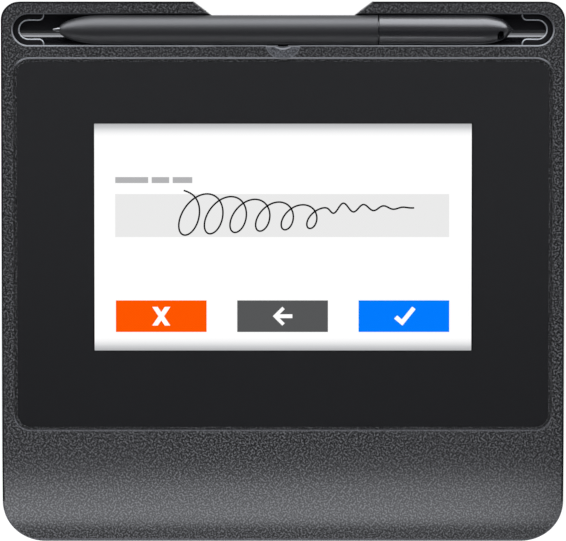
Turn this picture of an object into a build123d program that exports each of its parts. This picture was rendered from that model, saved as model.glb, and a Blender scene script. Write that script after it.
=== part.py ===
"""A colour signature pad for a shop counter, with its pen lying in a groove behind the screen.

Millimetres. +X is to the user's right, +Y runs from the user to the pen, +Z is up.
The origin is on the table, under the middle of the housing's outline.
"""
from build123d import *
from math import asin, cos, degrees, sqrt
import os

# One overrun for every cut, so that no cut ends flush with a face
overrun = 1.0

# Housing outline and shell
housing_width = 160.5
housing_depth = 154.7
rear_corner = 5.2
front_corner = 12.0
foot_stand = 0.8
base_height = 2.6
side_wall = 1.6
top_wall = 1.5
rear_wall = 2.5
floor_wall = 1.6
edge_round = 0.7
underside_chamfer = 0.7

# Palm rest, rolling down to a low front edge
palm_length = 31.8
front_height = 1.7
nose_length = 9.6
roll_drop = 1.9

# Pen groove, the finger gap behind it and the thumb scoop before it
groove_setback = 7.95
groove_end_setback = 3.35
groove_room = 0.27
groove_edge = 0.3
groove_bevel = 45.0
gap_width = 39.5
gap_flare = 5.75
gap_bite = 0.75
scoop_reach = 3.95
scoop_width = 9.9
scoop_depth = 2.8
scoop_notch_width = 2.9
scoop_notch_depth = 0.35
scoop_lip_bevel = 0.3
scoop_block_slack = 0.1
scoop_side_wall = 1.55
scoop_floor_wall = 0.9
lead_in = 0.5

# Pen tray, the glossy trough under the groove
tray_wall = 0.85
tray_floor = 1.2
tray_core_depth = 2.0
tray_core_inset = 1.6
tray_shelf_width = 1.85
tray_shelf_drop = 2.6
tray_rest_setback = 8.9
tray_flare = 1.5
tray_end_shelf = 1.85
tray_brim_depth = 0.2
tray_brim_slope = 60.0

# Cover glass and what holds it
strip_width = 4.35
glass_side_setback = 4.05
glass_front_margin = 1.15
glass_corner = 4.1
glass_thickness = 1.1
glass_sink = 0.2
glass_gap = 0.35
glass_edge = 0.15
mask_thickness = 0.1
mask_inset = 0.4
tape_thickness = 0.1
tape_width = 6.0
ledge_thickness = 1.15
ledge_land = 1.5
pocket_edge_round = 0.5

# Display module, 5 inches across the corners, five to three
panel_side_border = 22.2
panel_rear_border = 18.0
panel_front_border = 22.25
view_margin = 0.2
frame_border_x = 6.35
frame_border_y = 5.55
frame_wall = 1.0
frame_floor = 0.3
frame_corner = 1.5
frame_clearance = 0.3
stack_clearance = 0.35
stack_gap = 0.1
cell_thickness = 1.3
film_thickness = 0.4
guide_thickness = 1.0
reflector_thickness = 0.2

# Pen sensing board, the shield under it and the ribs that carry both
sensor_overhang_x = 1.65
sensor_overhang_y = 2.05
sensor_thickness = 0.8
shield_inset = 1.0
shield_thickness = 0.35
shield_corner = 2.0
rib_thickness = 1.2
rib_columns = 3
rib_rows = 3
rib_end_inset = 22.0
rib_side_inset = 16.0

# Lip of the base, which centres the top housing
lip_clearance = 0.1
lip_thickness = 0.7
lip_height = 0.8
lip_end_setback = 32.0

# Case screws, in three rows
screw_side_inset = 7.25
screw_front_side_inset = 20.0
screw_rear_setback = 30.75
screw_middle_setback = 84.0
screw_front_inset = 12.8
screw_head_radius = 2.3
screw_head_height = 1.3
screw_head_room = 0.3
screw_radius = 1.2
screw_length = 4.2
screw_slack = 0.1
screw_seat = 1.6
screw_drive_radius = 0.85
screw_drive_depth = 0.8
pad_wall = 1.4
pad_height = 1.2
boss_wall = 1.4
boss_embed = 0.3

# Rubber feet
foot_length = 24.0
foot_width = 9.0
foot_recess = 0.6
foot_clearance = 0.15
foot_side_inset = 24.0
foot_rear_setback = 19.0
foot_front_inset = 27.0
foot_edge = 0.4

# Main board, between the display and the pen tray
board_left_setback = 4.25
board_right_setback = 34.25
board_clearance = 0.95
board_thickness = 1.0
board_stand = 0.6
board_post_radius = 2.2
board_post_inset = 3.4
board_post_shares = (0.09, 0.5, 0.95)
board_screw_head = 1.6
board_screw_head_height = 0.8
board_screw_radius = 0.6
board_screw_tip_room = 0.2
chip_place_shares = (0.197, 0.336, 0.475, 0.614)
chip_size_shares = (1.0, 0.9, 0.8, 0.7)
chip_inset = 0.8
chip_gap = 0.6
chip_height = 1.0

# USB socket in the left side
usb_width = 8.94
usb_height = 3.2
usb_length = 7.3
usb_wall = 0.3
usb_side_flat = 0.3
usb_mouth_inset = 0.9
usb_back_wall = 1.1
usb_tongue_side_gap = 1.17
usb_tongue_height = 0.7
usb_tongue_setback = 1.6
usb_opening_margin = 0.35
usb_headroom = 0.75

# Flat cables from the display and from the sensing board
flex_thickness = 0.2
flex_bend = 0.6
flex_step_shares = (0.333, 0.667)
display_flex_width = 20.0
display_flex_share = 0.295
display_flex_height = 1.5
sensor_flex_width = 12.0
sensor_flex_share = 0.721
flex_socket_depth = 3.0
flex_socket_height = 1.1
flex_socket_margin = 1.2
flex_socket_inset = 1.6

# Lock slot in the right side, with the steel plate behind it
lock_length = 7.0
lock_height = 3.0
lock_corner = 0.75
lock_setback = 20.75
lock_plate_margin = 4.5
lock_plate_thickness = 1.5

# Pen
pen_radius = 4.13
pen_end_room = 11.35
cap_length = 38.3
nib_reach = 2.1
nose_taper = 12.8
nose_rim = 0.26
nib_radius = 0.75
nib_tip_radius = 0.42
nib_taper = 1.5
nib_clearance = 0.09
nib_travel = 0.3
nib_seat = 3.6
seam_gap = 0.2
seam_chamfer = 0.15
barrel_wall = 0.83
front_bore_setback = 8.0
spigot_length = 6.0
spigot_wall = 0.9
pen_slack = 0.05
cap_wall_end = 13.0
tail_length = 9.5
tail_crown_shares = (0.39, 0.77)
tail_cone_shares = (0.19, 0.5)
tail_tip_shares = (0.04, 0.12)
tail_flat_shares = (0.0, 0.04)
tether_setback = 3.75
tether_slot_length = 3.0
tether_slot_width = 1.85
tether_turn = 35.0

# Inside the pen
chassis_front_gap = 0.3
chassis_end_gap = 0.4
chassis_coil_wall = 0.7
chassis_unit_wall = 0.5
core_length = 14.0
core_setback = 1.0
coil_thickness = 0.7
coil_length = 10.0
unit_length = 8.0
pen_board_end_setback = 12.95
pen_board_width = 4.4
pen_board_thickness = 0.6
pen_board_rise = 0.3

# Heights of the slab, worked out from what lies between its floor and its glass
bottom_z = foot_stand
floor_z = bottom_z + floor_wall
split_z = bottom_z + base_height
board_z = floor_z + board_stand
board_top_z = board_z + board_thickness
ledge_bottom_z = board_top_z + usb_height + usb_headroom
ledge_z = ledge_bottom_z + ledge_thickness
mask_z = ledge_z + tape_thickness
glass_bottom_z = mask_z + mask_thickness
glass_top_z = glass_bottom_z + glass_thickness
top_z = glass_top_z + glass_sink
ceiling_z = top_z - top_wall
slab_height = top_z - bottom_z

# Outline and palm rest
rear_y = housing_depth / 2
front_y = -housing_depth / 2
side_x = housing_width / 2
palm_y = front_y + palm_length
palm_drop = top_z - split_z - front_height
roll_length = palm_length - nose_length
roll_radius = (roll_length**2 + roll_drop**2) / (2 * roll_drop)

# Groove, gap, scoop and tray
groove_radius = pen_radius + groove_room
groove_width = 2 * groove_radius
groove_length = housing_width - 2 * groove_end_setback
pen_y = rear_y - groove_setback
groove_front_y = pen_y - groove_radius
trough_z = floor_z + tray_core_depth + tray_floor
pen_z = trough_z + groove_radius
shelf_z = top_z - tray_shelf_drop
tray_rest_length = groove_length - 2 * tray_rest_setback
gap_depth = groove_setback - groove_radius + gap_bite
gap_mouth = gap_width + 2 * gap_flare
scoop_plan_radius = (scoop_width**2 / 4 + scoop_reach**2) / (2 * scoop_reach)
scoop_ball = (scoop_plan_radius**2 + scoop_depth**2) / (2 * scoop_depth)
scoop_y = groove_front_y - scoop_reach + scoop_plan_radius
scoop_z = top_z - scoop_depth + scoop_ball
scoop_lip_radius = sqrt(scoop_ball**2 - (scoop_y - groove_front_y + scoop_lip_bevel) ** 2)
scoop_block_width = scoop_width + 2 * scoop_side_wall
scoop_block_drop = scoop_depth + scoop_floor_wall - top_wall

# Glass, display and sensing board
glass_width = housing_width - 2 * glass_side_setback
glass_rear_y = groove_front_y - strip_width
glass_depth = glass_rear_y - palm_y - glass_front_margin
glass_y = glass_rear_y - glass_depth / 2
mask_width = glass_width - 2 * mask_inset
mask_depth = glass_depth - 2 * mask_inset
panel_width = glass_width - 2 * panel_side_border
panel_depth = glass_depth - panel_rear_border - panel_front_border
screen_y = glass_rear_y - panel_rear_border - panel_depth / 2
frame_width = panel_width + 2 * frame_border_x
frame_depth = panel_depth + 2 * frame_border_y
stack_width = frame_width - 2 * frame_wall - 2 * stack_clearance
stack_depth = frame_depth - 2 * frame_wall - 2 * stack_clearance
cell_top_z = mask_z - stack_gap
film_top_z = cell_top_z - cell_thickness
guide_top_z = film_top_z - film_thickness
reflector_top_z = guide_top_z - guide_thickness
frame_floor_top_z = reflector_top_z - reflector_thickness
frame_bottom_z = frame_floor_top_z - frame_floor
sensor_width = frame_width + 2 * sensor_overhang_x
sensor_depth = frame_depth + 2 * sensor_overhang_y
sensor_bottom_z = frame_bottom_z - sensor_thickness
sensor_rear_y = screen_y + sensor_depth / 2
shield_width = sensor_width - 2 * shield_inset
shield_depth = sensor_depth - 2 * shield_inset
shield_bottom_z = sensor_bottom_z - shield_thickness

# Main board, its sockets and the lock plate
board_left_x = -side_x + board_left_setback
board_length = housing_width - board_left_setback - board_right_setback
board_x = board_left_x + board_length / 2
board_rear_y = groove_front_y - tray_wall - board_clearance
board_front_y = sensor_rear_y + board_clearance
board_depth = board_rear_y - board_front_y
board_y = board_front_y + board_depth / 2
board_post_y = board_front_y + board_post_inset
board_screw_hole = board_screw_radius + screw_slack
board_screw_length = board_thickness + board_stand + floor_wall / 2 - board_screw_tip_room
flex_socket_y = board_front_y + flex_socket_inset
chip_side = board_depth - flex_socket_inset - flex_socket_depth - chip_gap - chip_inset
display_flex_x = board_left_x + display_flex_share * board_length
sensor_flex_x = board_left_x + sensor_flex_share * board_length
usb_z = board_top_z + usb_height / 2
usb_left_x = -side_x + usb_mouth_inset
usb_corner = (usb_height - usb_side_flat) / 2
usb_depth = usb_length - usb_back_wall
lock_y = rear_y - lock_setback
lock_z = (split_z + ledge_bottom_z) / 2

# Screws
screw_recess_radius = screw_head_radius + screw_head_room
screw_hole = screw_radius + screw_slack
screw_seat_z = bottom_z + screw_seat
screw_head_z = screw_seat_z - screw_head_height
pad_radius = screw_recess_radius + pad_wall
pad_z = floor_z + pad_height
boss_radius = screw_hole + boss_wall

# Pen, from the nib on the left to the tail on the right
pen_length = groove_length - 2 * pen_end_room
nib_tip_x = -pen_length / 2
tail_x = pen_length / 2
nose_x = nib_tip_x + nib_reach
nose_face_radius = nib_radius + nib_clearance + nose_rim
nose_angle = degrees(asin(nose_face_radius / pen_radius))
nose_centre_x = nose_x + nose_taper * cos(asin(nose_face_radius / pen_radius))
cap_start_x = tail_x - cap_length
barrel_end_x = cap_start_x - seam_gap
spigot_x = cap_start_x - spigot_length
barrel_bore = pen_radius - barrel_wall
bore_start_x = nose_x + front_bore_setback
chassis_x = bore_start_x + chassis_front_gap
chassis_end_x = spigot_x - chassis_end_gap
chassis_radius = barrel_bore - pen_slack
coil_radius = chassis_radius - chassis_coil_wall - pen_slack
core_radius = coil_radius - coil_thickness
unit_radius = chassis_radius - chassis_unit_wall - pen_slack
core_x = chassis_x + core_setback
unit_x = core_x + core_length
unit_end_x = unit_x + unit_length
nib_end_x = unit_x + nib_seat
pen_board_x = unit_end_x + pen_slack
pen_board_length = chassis_end_x - pen_board_end_setback - pen_board_x
pen_axis = Axis((0, pen_y, pen_z), (1, 0, 0))
pen_plane = Plane(origin=(0, pen_y, pen_z), x_dir=(1, 0, 0), z_dir=(0, -1, 0))
under_plane = Plane(origin=(0, 0, bottom_z), x_dir=(1, 0, 0), z_dir=(0, 0, -1))


def mirrored(places):
    """The same places on the left and on the right of the middle."""
    return [(side * x, y) for x, y in places for side in (-1, 1)]


screw_places = mirrored(
    [
        (side_x - screw_side_inset, rear_y - screw_rear_setback),
        (side_x - screw_side_inset, rear_y - screw_middle_setback),
        (side_x - screw_front_side_inset, front_y + screw_front_inset),
    ]
)
foot_places = mirrored(
    [
        (side_x - foot_side_inset, rear_y - foot_rear_setback),
        (side_x - foot_side_inset, front_y + foot_front_inset),
    ]
)
board_post_places = [(board_left_x + share * board_length, board_post_y) for share in board_post_shares]


def palm_height(y):
    """Height of the top surface over a place on the first, gentle roll of the palm rest."""
    run = max(palm_y - y, 0)
    return top_z - roll_radius + sqrt(roll_radius**2 - run**2)


def plan(height, inset=0):
    """Outline of the housing seen from above, drawn in by an inset."""
    with BuildSketch(Plane.XY.offset(height)) as outline:
        Rectangle(housing_width - 2 * inset, housing_depth - 2 * inset)
        fillet(outline.vertices().group_by(Axis.Y)[-1], rear_corner - inset)
        fillet(outline.vertices().group_by(Axis.Y)[0], front_corner - inset)
    return outline.sketch


def side_view(low_z, sink=0):
    """Side outline of the top housing: flat top, gentle roll, then the steeper nose of the palm rest."""
    high_z = top_z - sink
    with BuildSketch(Plane.YZ) as outline:
        with BuildLine():
            roll = TangentArc((palm_y, high_z), (palm_y - roll_length, high_z - roll_drop), tangent=(-1, 0))
            TangentArc(roll @ 1, (front_y, high_z - palm_drop), tangent=roll % 1)
            Polyline(
                (front_y, high_z - palm_drop),
                (front_y, low_z),
                (rear_y, low_z),
                (rear_y, high_z),
                (palm_y, high_z),
            )
        make_face()
    return outline.sketch


def rounded_plate(width, depth, corner, low_z, high_z, centre_y):
    """A flat plate with round corners, between two heights."""
    with BuildPart() as plate:
        with BuildSketch(Plane.XY.offset(low_z)):
            with Locations((0, centre_y)):
                RectangleRounded(width, depth, corner)
        extrude(amount=high_z - low_z)
    return plate.part


def pen_section(x):
    """Plane across the pen at a place along it, looking towards the tail."""
    return Plane(origin=(x, pen_y, pen_z), x_dir=(0, 1, 0), z_dir=(1, 0, 0))


# Finger gap, cut through the rear of the housing behind the pen
with BuildPart() as finger_gap:
    with BuildSketch(Plane.XY):
        with BuildLine():
            Polyline(
                (-gap_mouth / 2, rear_y + overrun),
                (-gap_mouth / 2, rear_y),
                (-gap_width / 2, rear_y - gap_depth),
                (gap_width / 2, rear_y - gap_depth),
                (gap_mouth / 2, rear_y),
                (gap_mouth / 2, rear_y + overrun),
                close=True,
            )
        make_face()
    extrude(amount=top_z + overrun)

# Pen groove, with a bevelled brim
with BuildPart() as groove:
    with BuildSketch(Plane.XY.offset(split_z)):
        with Locations((0, pen_y)):
            SlotOverall(groove_length, groove_width)
    extrude(amount=slab_height)
    with BuildSketch(Plane.XY.offset(top_z - groove_edge)):
        with Locations((0, pen_y)):
            SlotOverall(groove_length, groove_width)
    extrude(amount=2 * groove_edge, taper=-groove_bevel)

# Thumb scoop, a ball that dips into the strip before the pen, with a bevelled lip and a notch in it
with BuildPart() as thumb_scoop:
    with Locations((0, scoop_y, scoop_z)):
        Sphere(scoop_ball)
    with BuildSketch(Plane.XZ.offset(scoop_lip_bevel - groove_front_y)):
        with Locations((0, scoop_z)):
            Circle(scoop_lip_radius)
    extrude(amount=-2 * scoop_lip_bevel, taper=-groove_bevel)
    with BuildSketch(Plane.XY.offset(ceiling_z - scoop_block_drop)):
        with Locations((0, groove_front_y - scoop_notch_depth)):
            Rectangle(scoop_notch_width, groove_radius, align=(Align.CENTER, Align.MIN))
    extrude(amount=slab_height)

# Room inside the housing
with BuildPart() as housing_room:
    extrude(plan(bottom_z, side_wall), amount=slab_height)
    extrude(
        side_view(bottom_z - overrun, top_wall), amount=housing_width, both=True, mode=Mode.INTERSECT
    )
    with BuildSketch(Plane.XY.offset(bottom_z)):
        with Locations((0, rear_y - rear_wall)):
            Rectangle(housing_width, rear_wall + overrun, align=(Align.CENTER, Align.MIN))
    extrude(amount=slab_height, mode=Mode.SUBTRACT)

# Top housing: moulded shell with the palm rest, the groove, the glass pocket and its screw bosses
with BuildPart() as top_housing:
    extrude(side_view(split_z), amount=side_x, both=True)
    fillet(top_housing.edges().filter_by(Axis.Z).group_by(Axis.Y)[-1], rear_corner)
    fillet(top_housing.edges().filter_by(Axis.Z).group_by(Axis.Y)[0], front_corner)
    add(finger_gap.part, mode=Mode.SUBTRACT)
    rim = top_housing.edges().filter_by(lambda e: e.center().Z > split_z + overrun)
    rim = rim.filter_by(lambda e: abs(e.tangent_at(0).Z) < abs(e.tangent_at(0).X) + abs(e.tangent_at(0).Y))
    rim = rim.filter_by(
        lambda e: e.center().Y > palm_y + overrun
        or e.center().Y < front_y + overrun
        or abs(e.center().X) > side_x / 2
    )
    fillet(rim, edge_round)
    add(housing_room.part, mode=Mode.SUBTRACT)
    with BuildSketch(Plane.XY.offset(ledge_bottom_z)):
        with Locations((0, glass_y)):
            Rectangle(housing_width - 2 * side_wall, glass_depth + 2 * ledge_land)
    extrude(amount=glass_bottom_z - ledge_bottom_z)
    with BuildSketch(Plane.XY.offset(ceiling_z)):
        with Locations((0, glass_rear_y)):
            Rectangle(
                scoop_block_width, groove_front_y - glass_rear_y, align=(Align.CENTER, Align.MIN)
            )
    extrude(amount=-scoop_block_drop)
    for x, y in screw_places:
        with BuildSketch(Plane.XY.offset(pad_z)):
            with Locations((x, y)):
                Circle(boss_radius)
        boss_top_z = min(palm_height(y - boss_radius) - boss_embed, glass_bottom_z)
        extrude(amount=boss_top_z - pad_z)
    with BuildSketch(Plane.XY.offset(floor_z)):
        with Locations(*screw_places):
            Circle(screw_hole)
    extrude(amount=screw_length + screw_slack, mode=Mode.SUBTRACT)
    add(groove.part, mode=Mode.SUBTRACT)
    with BuildSketch(Plane.XY.offset(ledge_z)):
        with Locations((0, glass_y)):
            RectangleRounded(
                glass_width + 2 * glass_gap, glass_depth + 2 * glass_gap, glass_corner + glass_gap
            )
    extrude(amount=top_z - ledge_z + overrun, mode=Mode.SUBTRACT)
    with BuildSketch(Plane.XY.offset(ledge_bottom_z - overrun)):
        with Locations((0, screen_y)):
            RectangleRounded(
                frame_width + 2 * frame_clearance, frame_depth + 2 * frame_clearance, frame_corner
            )
    extrude(amount=ledge_thickness + 2 * overrun, mode=Mode.SUBTRACT)
    brim = top_housing.faces().filter_by(Axis.Z).group_by(Axis.Z)[-1].edges()
    pocket_brim = brim.filter_by(lambda e: e.center().Y < glass_rear_y + 2 * glass_gap)
    pocket_brim = pocket_brim.filter_by(
        lambda e: abs(e.center().X) < glass_width / 2 + 2 * glass_gap and e.center().Y > palm_y + glass_gap
    )
    fillet(pocket_brim, pocket_edge_round)
    add(thumb_scoop.part, mode=Mode.SUBTRACT)
    with BuildSketch(Plane.YZ):
        with BuildLine():
            Polyline(
                (groove_front_y - lead_in, top_z),
                (groove_front_y - lead_in, top_z + overrun),
                (groove_front_y + overrun, top_z + overrun),
                (groove_front_y + overrun, top_z - lead_in),
                (groove_front_y, top_z - lead_in),
                close=True,
            )
        make_face()
    extrude(amount=gap_width / 2, both=True, mode=Mode.SUBTRACT)
    with BuildSketch(Plane.YZ.offset(-side_x - overrun)):
        with Locations((board_y, split_z - overrun)):
            Rectangle(
                usb_width + 2 * usb_opening_margin,
                usb_z + usb_height / 2 + usb_opening_margin - split_z + overrun,
                align=(Align.CENTER, Align.MIN),
            )
    extrude(amount=side_wall + 2 * overrun, mode=Mode.SUBTRACT)
    with BuildSketch(Plane.YZ.offset(side_x + overrun)):
        with Locations((lock_y, lock_z)):
            RectangleRounded(lock_length, lock_height, lock_corner)
    extrude(amount=-side_wall - 2 * overrun, mode=Mode.SUBTRACT)
top_housing.part.label = "top_housing"

# Base housing: floor, rim, centring lip, screw pads, board posts and the ribs under the sensing board
with BuildPart() as base_housing:
    extrude(plan(bottom_z), amount=base_height)
    sole = base_housing.faces().filter_by(Axis.Z).sort_by(Axis.Z)[0]
    chamfer(sole.edges(), underside_chamfer)
    extrude(plan(floor_z, side_wall + lip_clearance + lip_thickness), amount=base_height, mode=Mode.SUBTRACT)
    with BuildSketch(Plane.XY.offset(floor_z)):
        add(plan(0, side_wall + lip_clearance))
        add(plan(0, side_wall + lip_clearance + lip_thickness), mode=Mode.SUBTRACT)
        with Locations((0, rear_y - lip_end_setback)):
            Rectangle(housing_width, housing_depth, align=(Align.CENTER, Align.MIN), mode=Mode.SUBTRACT)
    extrude(amount=split_z + lip_height - floor_z)
    with BuildSketch(Plane.XY.offset(floor_z)):
        with Locations(*screw_places):
            Circle(pad_radius)
    extrude(amount=pad_height)
    with BuildSketch(Plane.XY.offset(floor_z)):
        with Locations(*board_post_places):
            Circle(board_post_radius)
    extrude(amount=board_stand)
    with BuildSketch(Plane.XY.offset(floor_z)):
        with Locations((0, screen_y)):
            with GridLocations((sensor_width - 2 * rib_end_inset) / (rib_columns - 1), 0, rib_columns, 1):
                Rectangle(rib_thickness, shield_depth)
            with GridLocations(0, (sensor_depth - 2 * rib_side_inset) / (rib_rows - 1), 1, rib_rows):
                Rectangle(shield_width, rib_thickness)
    extrude(amount=shield_bottom_z - floor_z)
    add(finger_gap.part, mode=Mode.SUBTRACT)
    with BuildSketch(Plane.XY.offset(floor_z - floor_wall / 2)):
        with Locations(*board_post_places):
            Circle(board_screw_hole)
    extrude(amount=board_stand + floor_wall, mode=Mode.SUBTRACT)
    with Locations(under_plane):
        with Locations(*[(x, -y) for x, y in screw_places]):
            CounterBoreHole(screw_hole, screw_recess_radius, screw_seat)
    with BuildSketch(Plane.XY.offset(bottom_z - overrun)):
        with Locations(*foot_places):
            SlotOverall(foot_length, foot_width)
    extrude(amount=foot_recess + overrun, mode=Mode.SUBTRACT)
base_housing.part.label = "base_housing"

# Pen tray: the trough that the pen lies half sunk in, with a narrower channel and a shelf past each
# pen end, and cored out from below
with BuildSketch(Plane.XY) as trough_plan:
    with Locations((0, pen_y)):
        SlotOverall(groove_length - 2 * tray_end_shelf, groove_width - 2 * tray_shelf_width)
        Rectangle(tray_rest_length, groove_width)
    inner_corners = trough_plan.vertices().filter_by(
        lambda v: abs(v.X) < (tray_rest_length + tray_flare) / 2
        and abs(v.Y - pen_y) < groove_radius - tray_shelf_width / 2
    )
    fillet(inner_corners, tray_flare)

with BuildPart() as trough:
    with BuildSketch(Plane.XY.offset(floor_z)):
        add(trough_plan.sketch)
    extrude(amount=top_z - floor_z)
    with BuildSketch(Plane.YZ):
        with Locations((pen_y, pen_z)):
            Circle(groove_radius)
            Rectangle(groove_width, slab_height, align=(Align.CENTER, Align.MIN))
    extrude(amount=groove_length / 2, both=True, mode=Mode.INTERSECT)

# The shelf slopes into the channel round its brim
with BuildPart() as shelf_brim:
    with BuildSketch(Plane.XY.offset(shelf_z - tray_brim_depth)):
        add(trough_plan.sketch)
    extrude(amount=2 * tray_brim_depth, taper=-tray_brim_slope)
    with BuildSketch(Plane.XY.offset(floor_z)):
        with Locations((0, pen_y)):
            SlotOverall(groove_length, groove_width)
    extrude(amount=slab_height, mode=Mode.INTERSECT)

with BuildPart() as pen_tray:
    with BuildSketch(Plane.XY.offset(floor_z)):
        with Locations((0, pen_y)):
            SlotOverall(groove_length + 2 * tray_wall, groove_width + 2 * tray_wall)
    extrude(amount=ceiling_z - floor_z)
    add(trough.part, mode=Mode.SUBTRACT)
    with BuildSketch(Plane.XY.offset(floor_z)):
        with Locations((0, pen_y)):
            SlotOverall(groove_length - 2 * tray_core_inset, groove_width - 2 * tray_core_inset)
    extrude(amount=tray_core_depth, mode=Mode.SUBTRACT)
    with BuildSketch(Plane.XY.offset(shelf_z)):
        with Locations((0, pen_y)):
            SlotOverall(groove_length, groove_width)
    extrude(amount=slab_height, mode=Mode.SUBTRACT)
    add(shelf_brim.part, mode=Mode.SUBTRACT)
    add(finger_gap.part, mode=Mode.SUBTRACT)
    with BuildSketch(Plane.XY.offset(ceiling_z - scoop_block_drop - scoop_block_slack)):
        with Locations((0, groove_front_y)):
            Rectangle(scoop_block_width + 2 * scoop_block_slack, 2 * (tray_wall + overrun))
    extrude(amount=slab_height, mode=Mode.SUBTRACT)
pen_tray.part.label = "pen_tray"

# Cover glass, the black frame printed under it, and the tape that bonds it to the ledge
cover_glass = rounded_plate(glass_width, glass_depth, glass_corner, glass_bottom_z, glass_top_z, glass_y)
cover_glass = chamfer(cover_glass.faces().sort_by(Axis.Z)[-1].edges(), glass_edge)
cover_glass.label = "cover_glass"

with BuildPart() as glass_mask:
    with BuildSketch(Plane.XY.offset(mask_z)):
        with Locations((0, glass_y)):
            RectangleRounded(mask_width, mask_depth, glass_corner - mask_inset)
        with Locations((0, screen_y)):
            Rectangle(panel_width + 2 * view_margin, panel_depth + 2 * view_margin, mode=Mode.SUBTRACT)
    extrude(amount=mask_thickness)
glass_mask.part.label = "glass_mask"

with BuildPart() as glass_tape:
    with BuildSketch(Plane.XY.offset(ledge_z)):
        with Locations((0, glass_y)):
            RectangleRounded(mask_width, mask_depth, glass_corner - mask_inset)
            Rectangle(mask_width - 2 * tape_width, mask_depth - 2 * tape_width, mode=Mode.SUBTRACT)
    extrude(amount=tape_thickness)
glass_tape.part.label = "glass_tape"

# Display module: a shallow frame with the reflector, light guide, film and liquid crystal cell in it
with BuildPart() as display_frame:
    with BuildSketch(Plane.XY.offset(frame_bottom_z)):
        with Locations((0, screen_y)):
            RectangleRounded(frame_width, frame_depth, frame_corner)
    extrude(amount=cell_top_z - frame_bottom_z)
    with BuildSketch(Plane.XY.offset(frame_floor_top_z)):
        with Locations((0, screen_y)):
            Rectangle(frame_width - 2 * frame_wall, frame_depth - 2 * frame_wall)
    extrude(amount=slab_height, mode=Mode.SUBTRACT)
display_frame.part.label = "display_frame"

stack = {
    "reflector_sheet": (frame_floor_top_z, reflector_top_z),
    "light_guide": (reflector_top_z, guide_top_z),
    "diffuser_film": (guide_top_z, film_top_z),
    "lcd_panel": (film_top_z, cell_top_z),
}
stack_parts = []
for name, (low_z, high_z) in stack.items():
    layer = rounded_plate(stack_width, stack_depth, stack_clearance, low_z, high_z, screen_y)
    layer.label = name
    stack_parts.append(layer)

# Pen sensing board and its shield, carried by the base's ribs
sensor_board = rounded_plate(
    sensor_width, sensor_depth, shield_corner, sensor_bottom_z, frame_bottom_z, screen_y
)
sensor_board.label = "sensor_board"
shield_plate = rounded_plate(
    shield_width, shield_depth, shield_corner, shield_bottom_z, sensor_bottom_z, screen_y
)
shield_plate.label = "shield_plate"

# Main board behind the display, with its chips and flat cable sockets
with BuildPart() as main_board:
    with BuildSketch(Plane.XY.offset(board_z)):
        with Locations((board_x, board_y)):
            Rectangle(board_length, board_depth)
        with Locations(*board_post_places):
            Circle(board_screw_hole, mode=Mode.SUBTRACT)
    extrude(amount=board_thickness)
main_board.part.label = "main_board"

with BuildPart() as board_chips:
    for place_share, size_share in zip(chip_place_shares, chip_size_shares):
        with BuildSketch(Plane.XY.offset(board_top_z)):
            with Locations((board_left_x + place_share * board_length, board_rear_y - chip_inset)):
                Rectangle(size_share * chip_side, size_share * chip_side, align=(Align.CENTER, Align.MAX))
        extrude(amount=chip_height)
board_chips.part.label = "board_chips"

with BuildPart() as flex_sockets:
    with BuildSketch(Plane.XY.offset(board_top_z)):
        for x, width in ((display_flex_x, display_flex_width), (sensor_flex_x, sensor_flex_width)):
            with Locations((x, flex_socket_y)):
                Rectangle(width + 2 * flex_socket_margin, flex_socket_depth, align=(Align.CENTER, Align.MIN))
    extrude(amount=flex_socket_height)
flex_sockets.part.label = "flex_sockets"


def flat_cable(x, width, start_y, start_z):
    """A flat cable that steps down from a module's rear edge to its socket on the main board."""
    socket_z = board_top_z + flex_socket_height / 2
    step_start_y, step_end_y = [start_y + share * (flex_socket_y - start_y) for share in flex_step_shares]
    with BuildPart() as cable:
        with BuildSketch(Plane.YZ.offset(x - width / 2)):
            with BuildLine() as path:
                FilletPolyline(
                    (start_y, start_z),
                    (step_start_y, start_z),
                    (step_end_y, socket_z),
                    (flex_socket_y, socket_z),
                    radius=flex_bend,
                )
            trace(path.line, flex_thickness)
        extrude(amount=width)
    return cable.part


display_flex = flat_cable(
    display_flex_x, display_flex_width, screen_y + frame_depth / 2, frame_bottom_z + display_flex_height
)
display_flex.label = "display_flex"
sensor_flex = flat_cable(
    sensor_flex_x, sensor_flex_width, sensor_rear_y, sensor_bottom_z + sensor_thickness / 2
)
sensor_flex.label = "sensor_flex"

with BuildPart() as board_screws:
    with BuildSketch(Plane.XY.offset(board_top_z)):
        with Locations(*board_post_places):
            Circle(board_screw_head)
    extrude(amount=board_screw_head_height)
    with BuildSketch(Plane.XY.offset(board_top_z)):
        with Locations(*board_post_places):
            Circle(board_screw_radius)
    extrude(amount=-board_screw_length)
board_screws.part.label = "board_screws"

# USB socket on the left end of the main board, with its tongue
usb_plane = Plane(origin=(usb_left_x, board_y, usb_z), x_dir=(0, 1, 0), z_dir=(1, 0, 0))
with BuildPart() as usb_shell:
    with BuildSketch(usb_plane):
        RectangleRounded(usb_width, usb_height, usb_corner)
    extrude(amount=usb_length)
    with BuildSketch(usb_plane):
        RectangleRounded(usb_width - 2 * usb_wall, usb_height - 2 * usb_wall, usb_corner - usb_wall)
    extrude(amount=usb_depth, mode=Mode.SUBTRACT)
usb_shell.part.label = "usb_shell"

with BuildPart() as usb_tongue:
    with BuildSketch(usb_plane.offset(usb_tongue_setback)):
        Rectangle(usb_width - 2 * usb_tongue_side_gap, usb_tongue_height)
    extrude(amount=usb_depth - usb_tongue_setback)
usb_tongue.part.label = "usb_tongue"

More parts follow.
